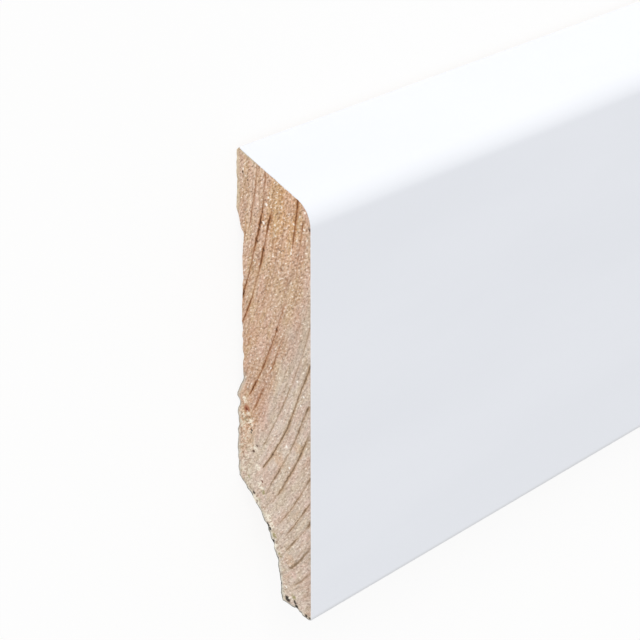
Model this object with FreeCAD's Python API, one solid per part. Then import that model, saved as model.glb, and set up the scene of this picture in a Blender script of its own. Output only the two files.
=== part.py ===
import FreeCAD, Part
import math
import os

# Solid softwood skirting board, planed to section and painted on its face.
# It lies on its back. X runs along the board, Y from the foot to the top edge, and Z out of the face.
# The origin is under the middle of the board, on the plane that its back lands touch.

# Overall sizes, mm
length = 2400.0
height = 69.0                 # foot to top edge, when the board stands on a floor
foot_thickness = 15.8         # wall plane to face, at the foot
top_thickness = 14.15         # wall plane to face, where the face's line reaches the top

# Top edge: a bevel that sheds dust, rounded over into the face
top_bevel_angle = 16.9        # degrees off a square top
nose_radius = 3.5
tip_ease = 0.5                # broken corner against the wall

# Foot: a narrow base, with a cove behind it that clears the floor's edge
arris_radius = 0.5            # softened corner between the face and the base
base_width = 6.5              # face to the cove, along the floor
lip_height = 1.4              # straight stretch between the base and the cove
base_ease = 0.5               # broken back corner of the base
cove_radius = 18.7

# Back: two lands touch the wall, with a shallow relief planed out between them
lower_land_width = 13.8       # up from the end of the cove
upper_land_width = 9.4        # down from the top edge
relief_flank = 3.1            # width over which the relief falls to its edge depth
relief_edge_depth = 1.3
relief_middle_depth = 1.0     # the relief's floor is slightly crowned

# Face line, from the foot to the top
face_slope = (foot_thickness - top_thickness) / height
bevel_slope = math.tan(math.radians(top_bevel_angle))

# Where the lines of the face and the bevel would meet
nose_height = (height - bevel_slope * (foot_thickness - tip_ease)) / (1.0 - bevel_slope * face_slope)
nose_depth = foot_thickness - face_slope * nose_height

# The cove leaves the lip square to the base and runs out on the lower land
lip_depth = foot_thickness - base_width
cove_centre_depth = lip_depth - cove_radius
cove_run = math.sqrt(cove_radius ** 2 - cove_centre_depth ** 2)
lower_land_bottom = lip_height + cove_run
lower_land_top = lower_land_bottom + lower_land_width
upper_land_bottom = height - upper_land_width


def section_point(up, out):
    """A point of the near end: up from the foot, and out from the wall plane."""
    return FreeCAD.Vector(-length / 2.0, up - height / 2.0, out)


def line(start, end):
    return Part.LineSegment(start, end).toShape()


def arc(start, middle, end):
    return Part.Arc(start, middle, end).toShape()


def rounded_corner(before, corner, after, radius):
    """Start, middle and end of an arc that touches both sides of a corner."""
    side_in = (before - corner).normalize()
    side_out = (after - corner).normalize()
    half_angle = side_in.getAngle(side_out) / 2.0
    reach = radius / math.tan(half_angle)
    bisector = (side_in + side_out).normalize()
    middle = corner + bisector * (radius / math.sin(half_angle) - radius)
    return corner + side_in * reach, middle, corner + side_out * reach


def board_section():
    face_foot = section_point(0.0, foot_thickness)
    nose_corner = section_point(nose_height, nose_depth)
    tip_front = section_point(height, tip_ease)
    tip_back = section_point(height - tip_ease, 0.0)
    base_back = section_point(0.0, lip_depth + base_ease)
    nose_start, nose_middle, nose_end = rounded_corner(face_foot, nose_corner, tip_front, nose_radius)
    arris_start, arris_middle, arris_end = rounded_corner(base_back, face_foot, nose_corner, arris_radius)

    upper_land_end = section_point(upper_land_bottom, 0.0)
    relief_top = section_point(upper_land_bottom - relief_flank, relief_edge_depth)
    relief_middle = section_point((upper_land_bottom + lower_land_top) / 2.0, relief_middle_depth)
    relief_foot = section_point(lower_land_top + relief_flank, relief_edge_depth)
    lower_land_end = section_point(lower_land_top, 0.0)

    cove_end = section_point(lower_land_bottom, 0.0)
    half_turn = math.acos(-cove_centre_depth / cove_radius) / 2.0
    cove_middle = section_point(lip_height + cove_radius * math.sin(half_turn),
                                cove_centre_depth + cove_radius * math.cos(half_turn))
    cove_start = section_point(lip_height, lip_depth)
    lip_foot = section_point(base_ease, lip_depth)

    return [
        arc(arris_start, arris_middle, arris_end),
        line(arris_end, nose_start),
        arc(nose_start, nose_middle, nose_end),
        line(nose_end, tip_front),
        line(tip_front, tip_back),
        line(tip_back, upper_land_end),
        line(upper_land_end, relief_top),
        arc(relief_top, relief_middle, relief_foot),
        line(relief_foot, lower_land_end),
        line(lower_land_end, cove_end),
        arc(cove_end, cove_middle, cove_start),
        line(cove_start, lip_foot),
        line(lip_foot, base_back),
        line(base_back, arris_start),
    ]


def skirting_board():
    near_end = Part.Face(Part.Wire(board_section()))
    return near_end.extrude(FreeCAD.Vector(length, 0.0, 0.0))


os.makedirs("parts", exist_ok=True)
board = skirting_board()
board.exportStep("parts/skirting_board.step")

box = board.BoundBox
print("skirting_board", board.ShapeType, "valid", board.isValid(), "solids", len(board.Solids))
print("box %.2f x %.2f x %.2f mm" % (box.XLength, box.YLength, box.ZLength))
print("volume %.1f cm3" % (board.Volume / 1000.0))
print("lower land %.2f to %.2f mm, nose corner at %.2f mm"
      % (lower_land_bottom, lower_land_top, nose_height))
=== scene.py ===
import math
import bpy
import bmesh
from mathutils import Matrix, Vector, noise


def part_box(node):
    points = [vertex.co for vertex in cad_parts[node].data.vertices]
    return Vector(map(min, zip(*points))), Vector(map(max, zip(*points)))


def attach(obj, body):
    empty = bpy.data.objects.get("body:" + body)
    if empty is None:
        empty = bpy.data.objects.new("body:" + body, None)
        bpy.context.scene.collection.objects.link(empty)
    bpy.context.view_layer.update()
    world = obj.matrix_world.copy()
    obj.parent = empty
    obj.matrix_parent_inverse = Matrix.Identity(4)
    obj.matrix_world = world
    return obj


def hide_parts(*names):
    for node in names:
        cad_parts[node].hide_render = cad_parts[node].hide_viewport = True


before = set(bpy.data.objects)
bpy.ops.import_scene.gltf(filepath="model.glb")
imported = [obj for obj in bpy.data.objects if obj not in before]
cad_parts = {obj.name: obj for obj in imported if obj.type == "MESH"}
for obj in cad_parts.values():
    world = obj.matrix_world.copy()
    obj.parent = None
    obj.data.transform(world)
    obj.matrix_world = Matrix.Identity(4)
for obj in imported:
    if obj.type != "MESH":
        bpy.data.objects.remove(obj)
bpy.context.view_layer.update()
boardLow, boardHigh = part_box("skirting_board")

mm = 0.001

# the board lies on its back: X along it, Y from the foot to the top edge, Z out of the painted face
board = dict(
    nearEnd=boardLow.x,
    farEnd=boardHigh.x,
    foot=boardLow.y,
    height=boardHigh.y - boardLow.y,
    footThickness=15.8 * mm,       # wall plane to the face's line, at the foot
    topThickness=14.15 * mm,
    topBevel=math.radians(16.9),   # off a square top
    noseRadius=3.5 * mm,
    arrisRadius=0.5 * mm,
    tipEase=0.5 * mm,
    baseWidth=6.5 * mm,
    lipHeight=1.4 * mm,
    baseEase=0.5 * mm,
    coveRadius=18.7 * mm,
    lowerLand=13.8 * mm,
    upperLand=9.4 * mm,
    reliefFlank=3.1 * mm,
    reliefEdge=1.3 * mm,
    reliefCrown=0.3 * mm,          # the relief is this much shallower in its middle
    crownFade=3 * mm,              # points this far above its floor stay where they are
    crease=math.radians(50),       # edges sharper than this are shaded sharp
)
faceSlope = (board["footThickness"] - board["topThickness"]) / board["height"]
bevelSlope = math.tan(board["topBevel"])
lipDepth = board["footThickness"] - board["baseWidth"]
coveCentre = (board["lipHeight"], lipDepth - board["coveRadius"])
coveEnd = board["lipHeight"] + math.sqrt(board["coveRadius"] ** 2 - coveCentre[1] ** 2)
reliefLow = coveEnd + board["lowerLand"]
reliefHigh = board["height"] - board["upperLand"]


def faceOut(up):
    return board["footThickness"] - faceSlope * up


def atEnd(up, out):
    return Vector((board["nearEnd"], board["foot"] + up, out))


def roundCorner(bm, corner, radius, steps):
    # both runs are cut back to where an arc of that radius touches them
    before, after = [e.other_vert(corner).co - corner.co for e in corner.link_edges]
    reach = radius / math.tan(before.angle(after) / 2)
    bmesh.ops.bevel(bm, geom=[corner], offset=reach, offset_type="OFFSET", affect="VERTICES",
                    segments=steps, profile=0.5, material=-1, clamp_overlap=False)


flats = dict(cove=40, nose=14, arris=5)       # how many flats each curve of the outline has


def drawSection(bm):
    # the outline of the near end as one flat face
    noseUp = board["height"] - bevelSlope * (board["footThickness"] - board["tipEase"])
    noseUp = noseUp / (1.0 - bevelSlope * faceSlope)       # where the face's line meets the bevel's
    corners = [
        atEnd(0.0, board["footThickness"]),
        atEnd(noseUp, faceOut(noseUp)),
        atEnd(board["height"], board["tipEase"]),
        atEnd(board["height"] - board["tipEase"], 0.0),
        atEnd(reliefHigh, 0.0),
        atEnd(reliefHigh - board["reliefFlank"], board["reliefEdge"]),
        atEnd(reliefLow + board["reliefFlank"], board["reliefEdge"]),
        atEnd(reliefLow, 0.0),
        atEnd(coveEnd, 0.0),
    ]
    outline = [bm.verts.new(corner) for corner in corners]
    coveTurn = math.acos(-coveCentre[1] / board["coveRadius"])
    bmesh.ops.spin(bm, geom=[outline[-1]], cent=atEnd(*coveCentre), axis=(1, 0, 0),
                   angle=coveTurn, steps=flats["cove"], use_duplicate=False)
    while outline[-1].link_edges:                    # walk down the spun cove
        ahead = [e.other_vert(outline[-1]) for e in outline[-1].link_edges]
        ahead = [v for v in ahead if v not in outline]
        if not ahead:
            break
        outline.append(ahead[0])
    outline.append(bm.verts.new(atEnd(board["baseEase"], lipDepth)))
    outline.append(bm.verts.new(atEnd(0.0, lipDepth + board["baseEase"])))
    bm.faces.new(outline)
    roundCorner(bm, outline[1], board["noseRadius"], flats["nose"])
    roundCorner(bm, outline[0], board["arrisRadius"], flats["arris"])


ends = dict(
    film=0.11 * mm,       # a strip as wide as the paint is thick, all round each sawn end
    slice=0.40 * mm,      # spacing of the cuts that grid the ends
    snap=0.04 * mm,       # a cut this near a point goes through it
)


def gridSection(bm, film):
    # a strip for the paint's edge, then even cuts both ways
    strip = bmesh.ops.inset_region(bm, faces=bm.faces[:], thickness=ends["film"],
                                   use_even_offset=True, use_boundary=True)["faces"]
    for face in strip:
        face[film] = 1
    ways = [(Vector((0, 1, 0)), board["height"]), (Vector((0, 0, 1)), board["footThickness"])]
    for axis, reach in ways:
        cuts = int(reach / ends["slice"])
        for step in range(1, cuts):
            place = atEnd(0, 0) + axis * (reach * step / cuts)
            bmesh.ops.bisect_plane(bm, geom=bm.verts[:] + bm.edges[:] + bm.faces[:],
                                   dist=ends["snap"], plane_co=place, plane_no=axis)


def measureGirth(bm, girth):
    # distance round the outline from the foot's arris, for unrolling the long sides
    rim = [e for e in bm.edges if e.is_boundary]
    start = min((v for e in rim for v in e.verts),
                key=lambda v: (v.co - atEnd(0, board["footThickness"])).length)
    ahead = max((e.other_vert(start) for e in start.link_edges if e.is_boundary), key=lambda v: v.co.y)
    walked, here, distance = start, ahead, (ahead.co - start.co).length
    start[girth] = 0.0
    while here is not start:
        here[girth] = distance
        step = [e for e in here.link_edges if e.is_boundary and walked not in e.verts][0]
        walked, here = here, step.other_vert(here)
        distance += (here.co - walked.co).length
    return distance


# how far apart the rings of points lie along the board: close at the saw cut, wide in the middle
spacing = dict(
    fromCut=[0.15, 0.35, 0.6, 1.0, 1.5, 2.2, 3.2, 4.6, 6.5, 9.5, 14, 21, 32, 50, 75, 100],     # mm
    middle=50 * mm,
    weld=0.001 * mm,
)


def vertsOf(made):
    return [part for part in made if isinstance(part, bmesh.types.BMVert)]


def extrudeBoard(bm):
    # the near end's rim is drawn out down the board, and a copy of the near end closes it
    length = board["farEnd"] - board["nearEnd"]
    stations = [place * mm for place in spacing["fromCut"]]
    reach = stations[-1]
    steps = int((length - 2 * reach) / spacing["middle"])
    stations += [reach + (length - 2 * reach) * step / steps for step in range(1, steps)]
    stations += [length - place * mm for place in reversed(spacing["fromCut"])] + [length]
    nearCap = bm.faces[:]
    rim = [e for e in bm.edges if e.is_boundary]
    passed = 0.0
    for station in stations:
        made = bmesh.ops.extrude_edge_only(bm, edges=rim)["geom"]
        bmesh.ops.translate(bm, verts=vertsOf(made), vec=(station - passed, 0, 0))
        rim = [part for part in made if isinstance(part, bmesh.types.BMEdge) and part.is_boundary]
        passed = station
    farCap = bmesh.ops.duplicate(bm, geom=nearCap)["geom"]
    bmesh.ops.translate(bm, verts=vertsOf(farCap), vec=(length, 0, 0))
    bmesh.ops.remove_doubles(bm, verts=bm.verts[:], dist=spacing["weld"])
    bmesh.ops.recalc_face_normals(bm, faces=bm.faces[:])


paintSlot, bareSlot, endSlot = 0, 1, 2
finishes = dict(
    nearFace=0.5 * mm,       # at an end, the strip this near the face is the film's cut edge
    aboveRelief=4 * mm,      # and so is the one along the bevel, this far above the relief and higher
    sawnFacing=0.5,          # faces that look this much along the board are sawn
    paintFacing=0.1,         # and of the others, those that look this much outwards are painted
)


def markFinishes(bm, film):
    # the face and the bevel are painted, and the film's cut edge shows round them at each end
    for face in bm.faces:
        face.smooth = True
        middle = face.calc_center_median()
        up, out = middle.y - board["foot"], middle.z
        onBevel = up > reliefHigh + finishes["aboveRelief"] and out > board["tipEase"]
        underPaint = out > faceOut(up) - finishes["nearFace"] or onBevel
        if abs(face.normal.x) > finishes["sawnFacing"]:
            face.material_index = paintSlot if face[film] and underPaint else endSlot
        elif face.normal.z > finishes["paintFacing"]:
            face.material_index = paintSlot
        else:
            face.material_index = bareSlot


def slide(low, high, value):
    # 0 below low, 1 above high, smooth between
    t = min(max((value - low) / (high - low), 0.0), 1.0)
    return t * t * (3 - 2 * t)


def ripple(place, size, seed):
    # smooth noise about zero, with features of that size
    return noise.noise(place / size + Vector((seed, seed * 1.7, seed * 0.6)))


def crownRelief(bm):
    # the relief's floor is planed a little crowned
    middle = (reliefLow + reliefHigh) / 2
    half = (reliefHigh - reliefLow) / 2 - board["reliefFlank"]
    floor = board["reliefEdge"]
    for v in bm.verts:
        offset = (v.co.y - board["foot"] - middle) / half
        if abs(offset) < 1 and v.co.z < floor + board["crownFade"]:
            fade = 1 - slide(floor, floor + board["crownFade"], v.co.z)
            v.co.z -= board["reliefCrown"] * (1 - offset * offset) * fade


saw = dict(
    fuzz=0.10 * mm,         # how deep the sawn surface is roughened
    tear=0.34 * mm,         # how deep fibres are pulled out along the bare edges
    tearGain=2.2,           # the noise seldom goes past a half, so it is raised by this
    fray=0.20 * mm,         # how far the bare outline wanders at the cut
    band=1.3 * mm,          # how far in from the edge the tearing goes
    fade=1.4 * mm,          # how far along the board the frayed outline runs out
    fuzzFade=1.8 * mm,      # the sides' first points move along with the cut, fading over this
    reach=7 * mm,           # nothing moves further from the cut than this
    guard=(0.1 * mm, 0.9 * mm),      # nothing frays this near the paint
    frayWaves=(2.3 * mm, 0.8 * mm),
    fuzzWaves=(0.9 * mm, 0.5 * mm),
    tearWave=1.15 * mm,
    nearSeed=3.1,
    farSeed=8.3,
    baseShare=0.8,          # how much of the fraying the base, the cove and the back get
    coveShare=0.40,
    backShare=0.35,
)

# splinters broken out of the near end's bare outline: height, depth, reach and how deep, mm
nicks = [
    (0.3, 9.4, 1.3, 0.45), (0.0, 10.5, 0.9, 0.35), (0.0, 12.4, 0.7, 0.36), (3.4, 9.1, 0.6, 0.10),
    (7.0, 8.4, 0.7, 0.12), (9.7, 7.3, 0.5, 0.12), (11.7, 6.2, 0.7, 0.20), (15.7, 2.9, 0.9, 0.22),
    (17.5, 0.0, 1.4, 0.34), (19.6, 0.0, 0.9, 0.08), (26.0, 0.0, 0.8, 0.18), (29.8, 0.0, 1.1, 0.42),
    (38.0, 1.1, 1.6, 0.12), (50.5, 1.0, 1.8, 0.15),
]


def bareEdge(up, out):
    # distance from the nearest bare side, the way into the wood from it, and its share of the fraying
    base = (up, Vector((0, 1, 0)), saw["baseShare"])
    if up < coveEnd:
        fromCove = math.hypot(up - coveCentre[0], out - coveCentre[1]) - board["coveRadius"]
        intoWood = Vector((0, up - coveCentre[0], out - coveCentre[1])).normalized()
        side = (fromCove, intoWood, saw["coveShare"])
    else:
        backLine = 0.0
        if reliefLow < up < reliefHigh:
            nearFlank = min(up - reliefLow, reliefHigh - up)
            backLine = board["reliefEdge"] * min(nearFlank / board["reliefFlank"], 1.0)
        side = (out - backLine, Vector((0, 0, 1)), saw["backShare"])
    return min(base, side, key=lambda choice: choice[0])


def sawEnds(bm, fromBare):
    # the cut: a fuzzy sawn surface, with the bare edges frayed and torn
    for v in bm.verts:
        depth, inward, seed = v.co.x - board["nearEnd"], 1.0, saw["nearSeed"]
        if board["farEnd"] - v.co.x < depth:
            depth, inward, seed = board["farEnd"] - v.co.x, -1.0, saw["farSeed"]
        if depth > saw["reach"]:
            continue
        up, out = v.co.y - board["foot"], v.co.z
        distance, into, share = bareEdge(up, out)
        distance = max(distance, 0.0)
        v[fromBare] = distance / mm
        edge = 1 - slide(0, saw["band"], distance)
        paint = slide(*saw["guard"], faceOut(up) - out)
        flat = Vector((0, v.co.y, v.co.z))
        broad, fine = saw["frayWaves"]
        wander = 0.9 * ripple(flat, broad, seed) + 0.9 * ripple(flat, fine, seed + 2)
        push = saw["fray"] * share * max(wander, 0.0)
        for nickUp, nickOut, reach, deep in nicks:
            away = math.hypot(up - nickUp * mm, out - nickOut * mm) / (reach * mm)
            if away < 1 and inward > 0:
                push += deep * mm * (1 - away * away) ** 2
        v.co += into * (push * edge * paint) * math.exp(-depth / saw["fade"])
        broad, fine = saw["fuzzWaves"]
        fuzz = 0.45 + 0.5 * ripple(flat, broad, seed + 4) + 0.5 * ripple(flat, fine, seed + 5)
        torn = max(ripple(flat, saw["tearWave"], seed + 6) + 0.12, 0.0) * edge
        rough = saw["fuzz"] * max(fuzz, 0.0) * (0.35 + 0.65 * paint)
        rough += saw["tear"] * saw["tearGain"] * torn * share * paint
        v.co.x += inward * rough * math.exp(-depth / saw["fuzzFade"])


bakeMap = dict(
    gap=0.006,             # clear room round each part of the map
    endTall=0.235,         # how tall each sawn end is on it
    endReach=3 * mm,       # faces this near an end that look this much along the board belong to it
    endFacing=0.4,
)


def unroll(bm, girth, total):
    # one map: the two sawn ends large, and the long sides squeezed along their length
    uv = bm.loops.layers.uv.new("OFBake")
    gap, endTall = bakeMap["gap"], bakeMap["endTall"]
    wide = 1 - 2 * gap
    sideLow = 2 * endTall + 3 * gap
    sideTall = 1 - sideLow - gap
    length = board["farEnd"] - board["nearEnd"]
    for face in bm.faces:
        middle = face.calc_center_median()
        fromCut = min(middle.x - board["nearEnd"], board["farEnd"] - middle.x)
        if fromCut < bakeMap["endReach"] and abs(face.normal.x) > bakeMap["endFacing"]:
            low = gap if middle.x < 0 else 2 * gap + endTall
            for loop in face.loops:
                up, out = loop.vert.co.y - board["foot"], loop.vert.co.z
                loop[uv].uv = (gap + wide * up / board["height"],
                               low + endTall * out / board["footThickness"])
        else:
            rounds = [loop.vert[girth] for loop in face.loops]
            for loop, rounded in zip(face.loops, rounds):
                if max(rounds) - rounded > total / 2:       # the face that closes the way round
                    rounded += total
                along = (loop.vert.co.x - board["nearEnd"]) / length
                loop[uv].uv = (gap + wide * along, sideLow + sideTall * rounded / total)


def makeBoard():
    bm = bmesh.new()
    film = bm.faces.layers.int.new("film")
    girth = bm.verts.layers.float.new("girth")
    fromBare = bm.verts.layers.float.new("fromBare")
    drawSection(bm)
    gridSection(bm, film)
    total = measureGirth(bm, girth)
    print("section gridded:", len(bm.faces), "faces,", round(total / mm, 1), "mm round")
    extrudeBoard(bm)
    markFinishes(bm, film)
    crownRelief(bm)
    unroll(bm, girth, total)
    sawEnds(bm, fromBare)
    mesh = bpy.data.meshes.new("board")
    bm.to_mesh(mesh)
    bm.free()
    mesh.set_sharp_from_angle(angle=board["crease"])
    piece = bpy.data.objects.new("paintedSkirting", mesh)
    bpy.context.scene.collection.objects.link(piece)
    print("board extruded:", len(mesh.polygons), "faces")
    return piece


class Wire:
    # a socket in a shader; arithmetic on it adds Math nodes
    def __init__(self, tree, socket=None):
        self.tree = tree
        self.socket = socket

    def make(self, kind, settings, values, output=0):
        made = self.tree.nodes.new("ShaderNode" + kind)
        for name, value in settings.items():
            if name == "stops":
                for position, colour in value:
                    made.color_ramp.elements.new(position).color = colour
                made.color_ramp.elements.remove(made.color_ramp.elements[-1])
                made.color_ramp.elements.remove(made.color_ramp.elements[0])
            else:
                setattr(made, name, value)
        for key, value in values.items():
            if isinstance(value, Wire):
                self.tree.links.new(value.socket, made.inputs[key])
            else:
                made.inputs[key].default_value = value
        return Wire(self.tree, made.outputs[output])

    def maths(self, operation, *terms):
        return self.make("Math", {"operation": operation}, dict(enumerate(terms)))

    def __add__(self, other):
        return self.maths("ADD", self, other)

    def __radd__(self, other):
        return self.maths("ADD", other, self)

    def __sub__(self, other):
        return self.maths("SUBTRACT", self, other)

    def __rsub__(self, other):
        return self.maths("SUBTRACT", other, self)

    def __mul__(self, other):
        return self.maths("MULTIPLY", self, other)

    def __rmul__(self, other):
        return self.maths("MULTIPLY", other, self)

    def __truediv__(self, other):
        return self.maths("DIVIDE", self, other)

    def __pow__(self, other):
        return self.maths("POWER", self, other)

    def __abs__(self):
        return self.maths("ABSOLUTE", self)

    def sine(self):
        return self.maths("SINE", self)

    def root(self):
        return self.maths("SQRT", self)

    def fraction(self):
        return self.maths("FRACT", self)

    def least(self, other):
        return self.maths("MINIMUM", self, other)

    def most(self, other):
        return self.maths("MAXIMUM", self, other)

    def rise(self, low, high):
        # 0 below low, 1 above high, smooth between
        return self.make("MapRange", {"interpolation_type": "SMOOTHSTEP"},
                         {"Value": self, "From Min": low, "From Max": high})

    def tint(self, under, over):
        # under where this is 0, over where it is 1
        return self.make("Mix", {"data_type": "RGBA"}, {0: self, 6: under, 7: over}, output=2)

    def stretched(self, x, y, z):
        return self.make("VectorMath", {"operation": "MULTIPLY"}, {0: self, 1: (x, y, z)})

    def parts(self):
        node = self.make("SeparateXYZ", {}, {0: self}).socket.node
        return [Wire(self.tree, part) for part in node.outputs]

    def joined(self, y, z=0.0):
        return self.make("CombineXYZ", {}, {0: self, 1: y, 2: z})

    def cloud(self, scale, detail=2.0, rough=0.5, swirl=0.0):
        return self.make("TexNoise", {}, {"Vector": self, "Scale": scale, "Detail": detail,
                                          "Roughness": rough, "Distortion": swirl}, output="Fac")

    def near(self, point, reach):
        # 1 at the point, 0 beyond the reach
        away = self.make("VectorMath", {"operation": "DISTANCE"}, {0: self, 1: point}, output="Value")
        return 1.0 - away.rise(reach * 0.45, reach)


def shade(colour, strength=1.0):
    return tuple(part * strength for part in colour) + (1.0,)


def startMaterial(name):
    material = bpy.data.materials.new(name)
    material.use_nodes = True
    shader = material.node_tree.nodes["Principled BSDF"]
    # millimetres from under the middle of the board, in the piece's own coordinates
    place = Wire(material.node_tree).make("TexCoord", {}, {}, output="Object")
    return material, shader, place.stretched(1 / mm, 1 / mm, 1 / mm)


def finishMaterial(shader, look, colour, height):
    # its colour, its shine and the fine relief that catches the light
    bump = height.make("Bump", {}, {"Height": height, "Distance": look["relief"], "Strength": 1.0})
    colour.tree.links.new(colour.socket, shader.inputs["Base Color"])
    bump.tree.links.new(bump.socket, shader.inputs["Normal"])
    shader.inputs["Roughness"].default_value = look["roughness"]
    shader.inputs["Specular IOR Level"].default_value = look["specular"]


def across(place):
    # how far along from the near end, up from the foot and out from the wall plane, mm
    x, y, z = place.parts()
    return x - board["nearEnd"] / mm, y - board["foot"] / mm, z


# growth rings: flattened arcs about the tree's heart, with a slight wave in them
# each dark line is a run of points: height up the section, mm, how far out through the rings it lies, and
# how dark it is there
rings = dict(
    heartUp=62.8,         # the heart, mm up from the foot and out from the wall plane
    heartOut=-526.0,
    oval=0.347,           # how much the arcs are flattened
    bend=0.448,           # the wave's depth, start and length, mm
    bendStart=21.3,
    bendLength=11.0,
    inner=182.0,          # the rings are counted from this far out of the heart
    lines=[
        [(61.0, 1.10, 0.10), (66.5, 1.17, 0.25)],
        [(56.0, 1.34, 0.25), (59.5, 1.38, 0.60), (62.3, 1.43, 0.58), (64.8, 1.53, 0.60),
         (67.5, 1.58, 0.40)],
        [(46.5, 1.89, 0.90), (48.5, 1.88, 1.00), (50.2, 1.93, 0.60), (54.6, 1.92, 0.55),
         (55.8, 1.93, 0.85), (58.2, 1.99, 0.90), (59.7, 2.02, 1.00), (61.3, 2.07, 0.85),
         (63.2, 2.10, 0.50), (65.2, 2.12, 0.45), (66.5, 2.13, 0.65), (68.0, 2.16, 0.50)],
        [(64.3, 2.30, 0.00), (65.5, 2.32, 0.38), (67.3, 2.33, 0.32)],
        [(43.0, 2.38, 0.50), (45.7, 2.45, 0.95), (46.8, 2.47, 0.80), (48.2, 2.50, 0.56),
         (52.0, 2.50, 0.50), (53.8, 2.52, 0.85), (56.1, 2.50, 1.00), (56.7, 2.50, 0.50),
         (58.2, 2.52, 0.60), (59.7, 2.55, 0.92), (60.8, 2.60, 0.92), (61.8, 2.65, 0.50),
         (63.0, 2.68, 0.22), (66.5, 2.75, 0.28)],
        [(41.5, 2.78, 0.20), (44.0, 2.80, 0.34), (47.0, 2.82, 0.10)],
        [(37.5, 3.10, 0.15), (40.5, 3.12, 0.40), (43.0, 3.12, 0.40), (45.5, 3.10, 0.10)],
        [(60.3, 3.48, 0.00), (62.3, 3.51, 0.32), (64.5, 3.53, 0.05)],
        [(56.5, 4.08, 0.10), (57.5, 4.07, 0.38), (59.2, 4.06, 0.00)],
        [(57.5, 4.26, 0.00), (58.3, 4.25, 0.45), (60.0, 4.24, 0.68), (62.8, 4.25, 0.75),
         (63.8, 4.28, 0.90), (66.0, 4.30, 0.92)],
        [(31.2, 4.22, 0.00), (32.0, 4.31, 0.60), (33.2, 4.37, 0.92), (34.6, 4.41, 0.92),
         (35.6, 4.44, 0.56), (37.0, 4.49, 0.60), (37.7, 4.50, 0.80), (39.0, 4.52, 0.66),
         (44.3, 4.56, 0.60), (44.9, 4.56, 0.96), (45.5, 4.55, 0.46), (48.5, 4.53, 0.45),
         (51.3, 4.42, 0.22), (53.2, 4.37, 0.45), (54.3, 4.35, 0.00)],
        [(53.5, 4.80, 0.20), (56.0, 4.72, 0.45), (59.0, 4.69, 0.52), (62.4, 4.70, 0.68),
         (63.4, 4.71, 0.25)],
        [(28.6, 4.84, 0.00), (29.5, 4.86, 0.42), (31.0, 4.95, 0.66), (34.3, 5.00, 0.50),
         (36.2, 5.02, 0.22), (39.2, 5.06, 0.66), (44.0, 5.03, 0.40), (49.0, 5.05, 0.15),
         (52.5, 5.05, 0.36), (56.5, 5.02, 0.36), (59.5, 5.00, 0.42), (61.0, 5.00, 0.00)],
        [(28.4, 5.02, 0.10), (29.5, 5.10, 0.38), (33.5, 5.24, 0.34), (36.0, 5.27, 0.00)],
        [(24.0, 6.37, 0.00), (25.5, 6.39, 0.52), (30.5, 6.44, 0.50), (34.0, 6.48, 0.62),
         (37.5, 6.49, 0.50), (43.5, 6.50, 0.38), (45.5, 6.47, 0.52), (47.5, 6.42, 0.62),
         (48.3, 6.40, 0.50)],
        [(20.9, 6.97, 0.00), (21.6, 7.00, 0.90), (24.3, 7.11, 1.00), (25.7, 7.14, 0.85),
         (27.5, 7.20, 0.80), (30.2, 7.25, 1.00), (31.4, 7.23, 0.85), (33.5, 7.19, 0.68),
         (36.5, 7.16, 0.66), (39.5, 7.16, 0.85), (42.0, 7.19, 0.95), (44.0, 7.21, 0.40)],
        [(16.2, 7.98, 0.00), (17.3, 8.00, 0.50), (19.8, 7.91, 0.60), (22.3, 7.93, 0.90),
         (24.0, 7.93, 0.55), (27.0, 7.97, 0.52), (29.8, 7.96, 0.60), (31.0, 7.94, 0.86),
         (32.2, 7.92, 0.62), (34.6, 7.90, 0.62), (35.3, 7.93, 1.00), (36.0, 7.94, 0.30)],
        [(14.8, 8.61, 0.00), (16.5, 8.61, 0.46), (18.0, 8.60, 0.50), (19.0, 8.62, 0.85),
         (20.4, 8.61, 0.62), (22.2, 8.60, 0.95), (25.5, 8.63, 0.72), (27.3, 8.62, 0.98),
         (28.1, 8.60, 0.75), (29.0, 8.60, 1.00), (30.2, 8.58, 0.60), (32.0, 8.55, 0.25)],
        [(15.5, 9.18, 0.10), (18.0, 9.19, 0.34), (22.0, 9.20, 0.26), (27.0, 9.19, 0.37),
         (28.6, 9.18, 0.10)],
        [(12.5, 9.71, 0.00), (13.6, 9.72, 0.42), (15.3, 9.74, 0.66), (17.0, 9.75, 0.56),
         (19.3, 9.74, 0.66), (22.5, 9.74, 0.38), (24.2, 9.76, 0.76), (25.4, 9.76, 0.25)],
        [(10.7, 10.51, 0.00), (12.2, 10.50, 0.42), (14.0, 10.49, 0.78), (16.6, 10.46, 0.62),
         (19.0, 10.46, 0.84), (20.4, 10.48, 0.48), (21.5, 10.48, 0.18)],
        [(8.9, 11.17, 0.00), (10.0, 11.16, 0.55), (12.3, 11.13, 0.76), (13.4, 11.14, 0.48),
         (15.6, 11.14, 0.50), (16.4, 11.13, 0.80), (17.6, 11.12, 0.50)],
        [(6.4, 12.17, 0.00), (7.1, 12.20, 0.72), (9.0, 12.20, 0.76), (11.2, 12.12, 0.68),
         (12.2, 12.09, 0.48), (13.6, 12.08, 0.46)],
        [(2.5, 13.08, 0.00), (4.6, 13.18, 0.47), (6.3, 13.20, 0.54), (7.4, 13.17, 0.52),
         (9.8, 13.12, 0.43)],
        [(1.6, 14.20, 0.00), (3.4, 14.17, 0.46), (6.5, 14.12, 0.39)],
    ],
    lineWidth=0.062,
    lineLead=0.124,       # the wood darkens slowly towards a line, then stops at it
    stain=0.19,           # and is stained this far both ways from it
    rampUp=80.0,          # a ramp goes from 0 to 1, so heights and rings are stored as shares of these
    rampThrough=20.0,
    driftUp=6.0,          # how far the rings wander along the board, and how long each sway is, mm
    driftUpLength=410.0,
    swayUp=1.2,
    swayUpLength=150.0,
    driftOut=2.5,
    driftOutLength=330.0,
)


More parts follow.
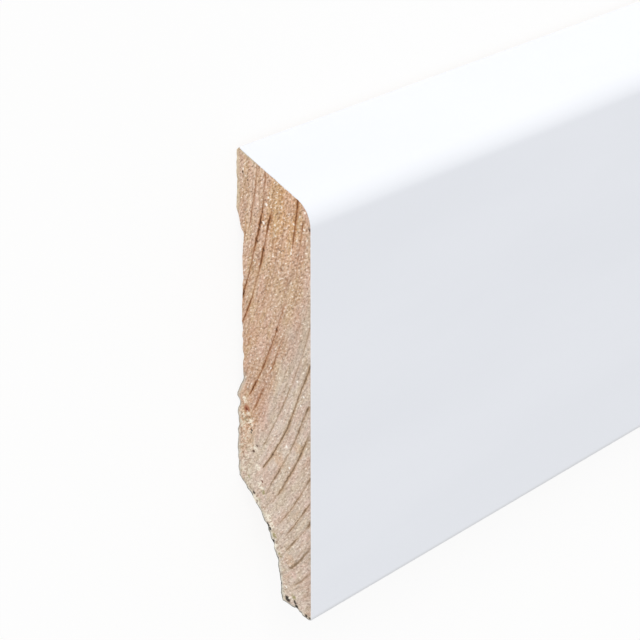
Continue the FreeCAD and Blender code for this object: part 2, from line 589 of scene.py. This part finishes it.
def throughRings(along, up, out):
    # how far out through the growth rings a point lies, and its height among them
    up = up + (along / rings["driftUpLength"]).sine() * rings["driftUp"]
    up = up + (along / rings["swayUpLength"]).sine() * rings["swayUp"]
    out = out + (along / rings["driftOutLength"]).sine() * rings["driftOut"]
    fromHeart = ((up - rings["heartUp"]) ** 2.0
                 + ((out - rings["heartOut"]) * rings["oval"]) ** 2.0).root()
    fromHeart = fromHeart + ((up - rings["bendStart"]) / rings["bendLength"]).sine() * rings["bend"]
    return fromHeart - rings["inner"], up


def latewood(through, up, width):
    # the thin dark lines and the stain round them, read off one ramp for each line: red holds where the
    # line lies, green how dark it is
    rampUp, rampThrough = rings["rampUp"], rings["rampThrough"]
    lines, stains = None, None
    for points in rings["lines"]:
        stops = [(height / rampUp, (ring / rampThrough, dark, 0, 1)) for height, ring, dark in points]
        ring, dark = up.make("ValToRGB", {"stops": stops}, {0: up / rampUp}).parts()[:2]
        away = through - ring * rampThrough
        stain = (1.0 - abs(away) / rings["stain"]).most(0.0) * dark
        away = away / width
        line = (1.0 - (away / rings["lineWidth"]).most(away / -rings["lineLead"]).least(1.0)) * dark
        lines = line if lines is None else lines.most(line)
        stains = stain if stains is None else stains.most(stain)
    return lines, stains


endGrain = dict(
    heart=(0.675, 0.470, 0.340),      # the upper wood, nearer the tree's heart
    orange=(0.690, 0.410, 0.205),
    light=(0.760, 0.570, 0.450),
    pale=(0.695, 0.580, 0.505),       # the lower, outer wood
    golden=(0.690, 0.510, 0.300),     # faint stains, both ways from the wood's own colour
    olive=(0.640, 0.560, 0.430),
    pink=(0.725, 0.490, 0.420),
    rust=(0.440, 0.178, 0.054),       # the wood that leads up to a ring's line
    paleRust=(0.480, 0.300, 0.172),
    late=(0.165, 0.058, 0.018),       # the line itself
    paleLate=(0.195, 0.132, 0.077),
    core=(0.030, 0.014, 0.008),       # and its darkest places
    fibreAndHighlight=(0.930, 0.780, 0.650),     # light and dark grit of the sawn surface, partly painted highlight and shade, and painted glints
    glintHighlight=(1.000, 0.920, 0.820),
    pitAndShade=(0.225, 0.130, 0.080),
    torn=(0.880, 0.820, 0.690),       # torn fibre, the painted shade in its gaps, and the green in it
    gap=(0.240, 0.170, 0.100),
    moss=(0.560, 0.520, 0.350),
    film=(0.640, 0.630, 0.560),       # fibre lifted along the bare outline, and the dark line under it, a painted shadow
    rim=(0.110, 0.115, 0.110),
    squeeze=0.01,                     # patterns hardly change inwards, so a pit keeps its rim's colour
    jog=0.5,                          # how far the marks' outlines are shaken, mm
    crumbled=(27.3, 1.9, 2.3),        # where the grit is coarsest: height, depth, reach
    roughness=0.85,
    specular=0.25,
    relief=0.16 * mm,
)

# how much of each layer shows over the wood under it
endCover = dict(
    orange=0.90,
    light=0.60,
    golden=0.48,
    pink=0.36,
    bands=0.30,
    ribbons=0.16,
    threads=0.24,
    pitsAndShade=0.72,
    fibresAndHighlights=0.66,
    shadeSpecks=0.60,
    lines=0.86,
    cores=0.85,
    strands=0.70,
    gapShades=0.65,
    moss=0.30,
    tip=0.45,
    underPaint=0.18,
)

# marks on the near end: height, depth, reach, kind
endMarks = [
    (29.6, 1.95, 0.85, "resin"), (29.5, 1.95, 0.42, "rust"), (24.4, 4.15, 0.28, "late"),
    (23.2, 3.4, 0.30, "late"), (65.7, 1.2, 0.28, "late"), (64.9, 2.2, 0.18, "late"),
    (62.1, 14.0, 0.28, "late"), (44.9, 8.0, 0.24, "late"), (63.8, 6.2, 0.24, "paintedGlint"),
    (62.7, 5.9, 0.24, "paintedGlint"), (59.8, 5.3, 0.28, "paintedGlint"), (61.7, 11.0, 0.20, "paintedGlint"),
    (61.7, 13.0, 0.22, "paintedGlint"), (66.2, 1.4, 0.20, "paintedGlint"), (57.4, 10.6, 0.20, "paintedGlint"),
    (38.4, 6.9, 0.22, "paintedGlint"), (26.5, 2.98, 0.26, "shadedHole"), (26.0, 2.88, 0.26, "shadedHole"),
    (27.5, 2.0, 0.18, "late"), (27.3, 2.7, 0.18, "late"), (18.9, 5.15, 0.26, "rust"),
    (12.1, 6.5, 0.40, "shadedHole"), (11.6, 6.85, 0.36, "shadedHole"), (9.8, 7.5, 0.42, "shadedHole"),
    (16.1, 3.4, 0.32, "shadedHole"), (7.3, 8.5, 0.26, "shadedHole"), (3.4, 9.5, 0.24, "shadedHole"),
    (1.3, 10.75, 0.72, "shadedHole"), (1.5, 12.3, 0.42, "shadedHole"), (0.9, 12.7, 0.50, "shadedHole"),
    (0.45, 14.6, 0.34, "shadedHole"), (0.4, 15.4, 0.34, "shadedHole"), (2.3, 12.0, 0.60, "moss"),
    (17.2, 5.4, 0.60, "moss"), (15.3, 4.4, 0.50, "moss"), (10.9, 7.9, 0.60, "moss"),
    (18.1, 4.9, 0.9, "torn"), (20.8, 4.3, 0.7, "torn"), (15.0, 3.9, 1.0, "torn"),
    (13.3, 6.6, 0.9, "torn"), (12.4, 7.2, 0.8, "torn"), (9.3, 8.2, 0.8, "torn"),
    (31.0, 1.5, 0.60, "torn"), (28.9, 2.3, 0.50, "torn"), (27.7, 2.9, 0.7, "torn"),
    (23.8, 3.9, 0.7, "torn"), (1.6, 11.4, 0.5, "torn"), (13.5, 6.8, 0.7, "torn"),
    (38.6, 12.1, 0.25, "paintedGlint"), (36.7, 13.4, 0.26, "paintedGlint"), (35.2, 12.9, 0.24, "paintedGlint"),
    (27.3, 10.2, 0.25, "paintedGlint"), (24.0, 10.8, 0.26, "paintedGlint"), (3.3, 10.5, 0.24, "paintedGlint"),
    (8.2, 9.1, 0.55, "moss"), (18.4, 2.4, 0.35, "moss"), (6.2, 12.0, 0.8, "blush"),
    (59.7, 4.80, 0.30, "late"), (59.2, 4.65, 0.30, "late"), (58.6, 4.55, 0.24, "late"),
    (61.3, 5.05, 0.20, "late"), (56.7, 4.0, 0.26, "late"), (55.9, 5.4, 0.28, "late"),
    (48.0, 1.4, 0.30, "late"), (47.6, 1.3, 0.26, "late"), (24.6, 7.4, 0.22, "late"),
]

# broad soft patches, under the grain
endPatches = [
    (64.4, 13.3, 1.3, "blush"), (30.6, 4.6, 2.6, "blush"), (41.0, 6.0, 2.8, "blush"),
    (27.4, 1.8, 2.3, "crumb"), (49.0, 11.6, 7.0, "dusk"), (42.0, 10.8, 5.0, "dusk"),
    (36.5, 4.2, 5.0, "dusk"), (24.4, 8.6, 1.6, "ember"), (28.0, 12.6, 1.3, "ember"),
    (8.3, 11.2, 1.5, "ember"), (60.0, 5.5, 1.6, "ember"),
]

# what each kind looks like: its colour, how much it covers, and whether fibres break it up
markLooks = dict(
    resin=((0.400, 0.150, 0.080), 0.9, False),
    # holes are painted near black: the shade inside them
    shadedHole=((0.020, 0.016, 0.012), 0.95, False),
    late=((0.085, 0.035, 0.018), 0.9, False),
    rust=((0.150, 0.035, 0.016), 0.9, False),
    moss=((0.330, 0.290, 0.130), 0.9, True),
    torn=((0.930, 0.865, 0.740), 0.9, True),
    # glints are painted highlights
    paintedGlint=((1.000, 0.960, 0.900), 0.9, False),
    blush=((0.740, 0.500, 0.450), 0.35, False),
    dusk=((0.440, 0.300, 0.220), 0.20, False),
    crumb=((0.720, 0.430, 0.260), 0.5, False),
    ember=((0.700, 0.430, 0.230), 0.35, False),
)


def endShade(name, strength=1.0):
    return shade(endGrain[name], strength)


def spotMask(flat, up, out, reach):
    # 1 at a place on the near end, 0 beyond the reach
    depth = board["nearEnd"] / mm * endGrain["squeeze"]
    return flat.near((depth, up + board["foot"] / mm, out), reach)


def layMarks(wood, marks, shaken, strands):
    # each mark covers those before it
    for up, out, reach, kind in marks:
        colour, cover, broken = markLooks[kind]
        mask = spotMask(shaken, up, out, reach) * cover
        if broken:
            mask = mask * strands.rise(0.42, 0.54)
        wood = mask.tint(wood, shade(colour))
    return wood


def shakeOutlines(flat):
    # the same place, jogged a little each way, so that marks come out ragged
    jog, half = endGrain["jog"], endGrain["jog"] / 2
    shaken = flat.make("TexNoise", {}, {"Vector": flat, "Scale": 2.2}, output="Color")
    shaken = shaken.make("VectorMath", {"operation": "MULTIPLY_ADD"},
                         {0: shaken, 1: (jog, jog, jog), 2: flat})
    return shaken.make("VectorMath", {"operation": "SUBTRACT"}, {0: shaken, 1: (half, half, half)})


def plainEndWood(up, through, tangent, pale):
    # reddish above, pale below, warmest under the bevel, with faint stains along the rings
    wood = pale.tint(endShade("heart"), endShade("pale"))
    warm = up.rise(52.0, 62.0) * through.rise(1.9, 2.9) * (1.0 - through.rise(4.2, 5.0))
    wood = (warm * endCover["orange"]).tint(wood, endShade("orange"))
    light = (1.0 - through.rise(1.3, 2.0)) * up.rise(50.0, 58.0)
    wood = (light * endCover["light"]).tint(wood, endShade("light"))
    stain = (through * 1.5).joined(tangent * 0.18, 3.0).cloud(1.0, 2.0, 0.6)
    golden = pale.tint(endShade("golden"), endShade("olive"))
    wood = (stain.rise(0.49, 0.62) * endCover["golden"]).tint(wood, golden)
    return ((1.0 - stain.rise(0.38, 0.50)) * endCover["pink"]).tint(wood, endShade("pink"))


def layBands(wood, through, tangent, rust):
    # fine bands along the rings, and broader, fainter ones
    bands = (through * 7.0).joined(tangent * 0.25, 5.0).cloud(1.0, 2.0)
    wood = ((1.0 - bands.rise(0.34, 0.54)) * endCover["bands"]).tint(wood, rust)
    ribbons = (through * 1.7).joined(tangent * 0.05, 9.0).cloud(1.0, 1.0)
    return ((1.0 - ribbons.rise(0.35, 0.55)) * endCover["ribbons"]).tint(wood, rust)


def layGrit(wood, up, out, pale, flat, grit):
    # the sawn surface: dark pits and light ends of fibres, a third of a millimetre across; their contrast
    # is partly painted shade and painted highlight
    crumbled = spotMask(flat, *endGrain["crumbled"])
    rough = (1.0 - pale * 0.23) * (up.rise(48.0, 58.0) * 0.22 + 0.82) + crumbled * 0.35
    wood = ((1.0 - grit.rise(0.34, 0.50)) * endCover["pitsAndShade"] * rough).tint(wood, endShade("pitAndShade"))
    wood = (grit.rise(0.50, 0.65) * endCover["fibresAndHighlights"] * rough).tint(wood, endShade("fibreAndHighlight"))
    # painted glints: highlights laid in as colour; the low end of the same noise gives specks of painted
    # shade
    paintedGlints = ((up + out) * 1.2).joined((up - out) * 2.3, 7.0).cloud(1.0, 1.0)
    wood = (paintedGlints.rise(0.62, 0.69) * (pale * 0.2 + 0.8) * rough).tint(wood, endShade("glintHighlight"))
    shadeSpecks = (1.0 - paintedGlints.rise(0.30, 0.36)) * endCover["shadeSpecks"]
    return (shadeSpecks * rough).tint(wood, endShade("pitAndShade", 0.5))


def layOutline(wood, place, up, out, strands):
    # a lifted film of fibre along the bare outline, its dark underside as a painted shadow line, and the
    # tip tinted olive
    fromBare = place.make("Attribute", {"attribute_name": "fromBare"}, {}, output="Fac")
    low = 1.0 - up.rise(34.0, 36.0)
    film = (1.0 - fromBare.rise(0.25, 0.85)) * low * (strands * 0.9 + 0.1)
    wood = film.tint(wood, endShade("film"))
    # painted shadow: a thin dark line right along the bare outline
    dark = low * (0.88 - up.rise(17.0, 20.0) * 0.33)
    wood = ((1.0 - fromBare.rise(0.06, 0.24)) * dark).tint(wood, endShade("rim"))
    fromBevel = board["height"] / mm - (out - 0.5) * bevelSlope - up
    fromTip = fromBevel.least(out * 0.8 + (1.0 - up.rise(58.0, 60.0)) * 5.0)
    tip = (1.0 - fromTip.rise(0.15, 0.75)) * (1.0 - out.rise(2.5, 5.0))
    return (tip * endCover["tip"]).tint(wood, endShade("moss"))


def makeEndGrain():
    material, shader, place = startMaterial("sawnEndGrain")
    along, up, out = across(place)
    flat = place.stretched(endGrain["squeeze"], 1.0, 1.0)
    # the saw crossed the section aslant, so its grit is drawn out that way
    aslant = ((up + out) * 1.15).joined((up - out) * 2.45)
    grit = aslant.cloud(1.0, 3.0, 0.7)
    strands = aslant.stretched(0.55, 0.55, 1.0).cloud(1.0, 3.0, 0.6, swirl=1.2)
    clumps = flat.cloud(0.75, 2.0)
    shaken = shakeOutlines(flat)
    through, ringUp = throughRings(along, up, out)
    through = through + (clumps - 0.5) * 0.06 + (flat.cloud(2.6, 2.0) - 0.5) * 0.13
    tangent = up + out * (1.0 - up / rings["heartUp"]) * 0.975       # how far along the rings

    # the rings' lines, broad and soft in the outermost rings
    patches = flat.stretched(1.0, 0.5, 1.0).cloud(1.4, 2.0)
    wide = through.rise(10.4, 12.4) * 1.3 + 1.0
    lines, stains = latewood(through, ringUp, (patches * 1.4 + 0.3) * wide)
    lines = lines * (patches.rise(0.30, 0.60) * 0.24 + 0.76) * (grit * 0.4 + 0.80)

    pale = (through + (flat.cloud(0.30, 1.0) - 0.5) * 1.4).rise(5.0, 6.2)
    rust = pale.tint(endShade("rust"), endShade("paleRust"))
    late = pale.tint(endShade("late"), endShade("paleLate"))
    wood = plainEndWood(up, through, tangent, pale)
    wood = layMarks(wood, endPatches, shaken, strands)
    wood = layBands(wood, through, tangent, rust)
    wood = layGrit(wood, up, out, pale, flat, grit)
    threads = (through * 3.4).joined(tangent * 0.11, 2.0).cloud(1.0, 2.0)
    threads = 1.0 - abs(threads - 0.5).rise(0.012, 0.045)
    wood = (threads * endCover["threads"]).tint(wood, late)
    wood = (stains.rise(0.15, 0.80) * (grit * 0.5 + 0.5)).tint(wood, rust)
    wood = (lines.rise(0.15, 0.70) * endCover["lines"]).tint(wood, late)
    wood = (lines.rise(0.70, 0.95) * (endCover["cores"] - pale * 0.30)).tint(wood, endShade("core"))

    # torn fibres along the cove, the base and the lower land, with painted shade in the gaps between
    # strands
    fromCove = ((up - coveCentre[0] / mm) ** 2.0 + (out - coveCentre[1] / mm) ** 2.0).root()
    fromEdge = (fromCove - board["coveRadius"] / mm).least(up * 1.3)
    land = (1.0 - out.rise(1.2, 4.6)) * (1.0 - up.rise(27.5, 31.5))
    tear = (1.0 - fromEdge.rise(0.3, 2.2)).most(land)
    wood = (tear * strands.rise(0.50, 0.60) * endCover["strands"]).tint(wood, endShade("torn"))
    # painted shade in the gaps between torn strands
    wood = (tear * (1.0 - strands.rise(0.36, 0.46)) * endCover["gapShades"]).tint(wood, endShade("gap"))
    wood = (tear * clumps.rise(0.52, 0.64) * endCover["moss"]).tint(wood, endShade("moss"))

    wood = layOutline(wood, place, up, out, strands)
    wood = layMarks(wood, endMarks, shaken, strands)
    # the wood darkens a little next to the paint
    faceMiddle = faceOut(30 * mm) / mm
    underPaint = 1.0 - (faceMiddle - out).rise(0.1, 0.8)
    wood = (underPaint * endCover["underPaint"]).tint(wood, endShade("pitAndShade"))
    finishMaterial(shader, endGrain, wood, grit * 0.8 + strands * tear * 0.8 - lines * 0.3)
    return material


bareWood = dict(
    early=(0.700, 0.525, 0.360),
    blush=(0.690, 0.475, 0.325),
    deep=(0.560, 0.335, 0.175),
    late=(0.330, 0.155, 0.065),
    fleck=(0.200, 0.090, 0.040),
    fuzz=(0.720, 0.660, 0.560),
    seasons=1.25,         # rings for each mm of depth
    wander=0.55,          # how far the rings wander, mm
    seasonCover=0.35,     # how much of each layer shows over the wood under it
    summerCover=0.70,
    streakCover=0.32,
    fleckCover=0.40,
    fuzzCover=0.55,
    roughness=0.68,
    specular=0.3,
    relief=0.06 * mm,
)


def makeBareWood():
    # planed long grain on the back, the cove and the base
    material, shader, place = startMaterial("planedBackGrain")
    along, up, out = across(place)
    drawnOut = place.stretched(0.02, 1.0, 1.0)
    through = throughRings(along, up, out)[0] + (drawnOut.cloud(0.30, 3.0) - 0.5) * bareWood["wander"]
    # a ring's wood darkens slowly, then starts again pale
    season = (through * bareWood["seasons"]).fraction()
    summer = season ** 3.0 * (drawnOut.cloud(0.45, 2.0) * 1.3 + 0.2)
    streaks = place.stretched(0.012, 1.0, 1.0).cloud(3.0, 4.0, 0.6)
    broad = place.stretched(0.004, 0.09, 0.09).cloud(1.0, 2.0)
    wood = broad.rise(0.35, 0.65).tint(shade(bareWood["early"]), shade(bareWood["blush"]))
    wood = (season * bareWood["seasonCover"]).tint(wood, shade(bareWood["deep"]))
    wood = (summer.rise(0.10, 0.85) * bareWood["summerCover"]).tint(wood, shade(bareWood["late"]))
    wood = (streaks.rise(0.50, 0.72) * bareWood["streakCover"]).tint(wood, shade(bareWood["deep"]))
    flecks = place.stretched(0.06, 1.7, 1.7).cloud(1.0, 2.0)
    wood = (flecks.rise(0.68, 0.74) * bareWood["fleckCover"]).tint(wood, shade(bareWood["fleck"]))
    fromSaw = along.least((board["farEnd"] - board["nearEnd"]) / mm - along)
    fuzz = (1.0 - fromSaw.rise(0.2, 1.3)) * bareWood["fuzzCover"]
    finishMaterial(shader, bareWood, fuzz.tint(wood, shade(bareWood["fuzz"])), streaks)
    return material


paint = dict(
    white=(0.793, 0.816, 0.874),
    shadow=(0.772, 0.795, 0.853),
    arrisShade=(0.690, 0.708, 0.740),     # painted shade: the coat is greyed where it rounds the foot's arris
    arrisShadeLow=0.30,                   # between these heights, mm
    arrisShadeHigh=0.95,
    roughness=0.42,
    specular=0.4,
    relief=0.01 * mm,
)


def makePaint():
    material, shader, place = startMaterial("satinWhitePaint")
    up = across(place)[1]
    mottle = place.stretched(0.3, 1.0, 1.0).cloud(0.05, 3.0, 0.5)
    coat = mottle.rise(0.3, 0.7).tint(shade(paint["shadow"]), shade(paint["white"]))
    # painted shade along the foot's arris
    clearOfArrisShade = (up + (mottle - 0.5) * 0.6).rise(paint["arrisShadeLow"], paint["arrisShadeHigh"])
    coat = (1.0 - clearOfArrisShade).tint(coat, shade(paint["arrisShade"]))
    # a faint peel, and the grain just showing through
    peel = place.cloud(0.8, 2.0)
    grain = place.stretched(0.02, 1.0, 1.0).cloud(1.2, 3.0)
    finishMaterial(shader, paint, coat, peel * 0.6 + grain * 0.4)
    return material


ground = dict(
    reach=12.0,
    drop=0.2 * mm,              # it lies just under the board's lands
    colour=(0.92, 0.92, 0.92),
    glow=0.88,                  # how much of it shows as plain white; the rest takes the shadow
)
plainWhite = (1.0, 1.0, 1.0, 1.0)


def seenDirectly(tree):
    # 1 for what the camera sees, in glossy and clear things too, 0 for what only lights the board
    rays = Wire(tree).make("LightPath", {}, {}).socket.node.outputs
    seen = Wire(tree, rays["Is Camera Ray"])
    seen = seen.most(Wire(tree, rays["Is Glossy Ray"]))
    return seen.most(Wire(tree, rays["Is Transmission Ray"]))


def makeFloor():
    # pale ground that shows white, with the board's shadow kept faint on it
    bm = bmesh.new()
    bmesh.ops.create_grid(bm, x_segments=1, y_segments=1, size=ground["reach"])
    bmesh.ops.translate(bm, verts=bm.verts[:], vec=(0, 0, -ground["drop"]))
    mesh = bpy.data.meshes.new("floor")
    bm.to_mesh(mesh)
    bm.free()
    floor = bpy.data.objects.new("floor", mesh)
    bpy.context.scene.collection.objects.link(floor)
    material = bpy.data.materials.new("paleFloor")
    material.use_nodes = True
    tree = material.node_tree
    tree.nodes.remove(tree.nodes["Principled BSDF"])
    diffuse = Wire(tree).make("BsdfDiffuse", {}, {"Color": shade(ground["colour"])})
    glow = Wire(tree).make("Emission", {}, {"Color": plainWhite, "Strength": 1.0})
    seen = seenDirectly(tree) * ground["glow"]
    mixed = Wire(tree).make("MixShader", {}, {0: seen, 1: diffuse, 2: glow})
    tree.links.new(mixed.socket, tree.nodes["Material Output"].inputs["Surface"])
    mesh.materials.append(material)


studio = dict(
    sky=0.67,
    skyColour=(0.975, 0.985, 1.0),
    keyStrength=1.85,
    keyFrom=Vector((-0.45, 0.75, 0.50)),
    keyColour=(1.0, 0.97, 0.90),
    keySoftness=math.radians(30),
)


def lightStudio():
    # a soft sky that shows white, and one broad lamp from beyond the top edge
    world = bpy.data.worlds.new("studio")
    bpy.context.scene.world = world
    world.use_nodes = True
    tree = world.node_tree
    tree.nodes.remove(tree.nodes["Background"])
    skyColour = shade(studio["skyColour"])
    sky = Wire(tree).make("Background", {}, {"Color": skyColour, "Strength": studio["sky"]})
    white = Wire(tree).make("Background", {}, {"Color": plainWhite, "Strength": 1.0})
    mixed = Wire(tree).make("MixShader", {}, {0: seenDirectly(tree), 1: sky, 2: white})
    tree.links.new(mixed.socket, tree.nodes["World Output"].inputs["Surface"])
    key = bpy.data.lights.new("key", "SUN")
    key.energy = studio["keyStrength"]
    key.color = studio["keyColour"]
    key.angle = studio["keySoftness"]
    lamp = bpy.data.objects.new("key", key)
    lamp.rotation_euler = studio["keyFrom"].to_track_quat("Z", "Y").to_euler()
    bpy.context.scene.collection.objects.link(lamp)


# the photograph's view of the near end, with the board's foot towards the bottom of the picture
camera = dict(
    lens=104.1,
    nearest=0.01,
    place=Vector((-1.34536, 0.13374, 0.16557)),
    turn=(-30.591, -43.639, 1.437),      # degrees
)


def placeCamera():
    data = bpy.data.cameras.new("camera")
    data.lens = camera["lens"]
    data.clip_start = camera["nearest"]
    shot = bpy.data.objects.new("camera", data)
    shot.location = camera["place"]
    shot.rotation_euler = [math.radians(angle) for angle in camera["turn"]]
    bpy.context.scene.collection.objects.link(shot)
    bpy.context.scene.camera = shot


skirting = makeBoard()
for material in (makePaint(), makeBareWood(), makeEndGrain()):
    skirting.data.materials.append(material)
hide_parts("skirting_board")
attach(skirting, "root")
print("board finished")

makeFloor()
lightStudio()
placeCamera()
bpy.context.scene.view_settings.view_transform = "Standard"
print("studio ready")
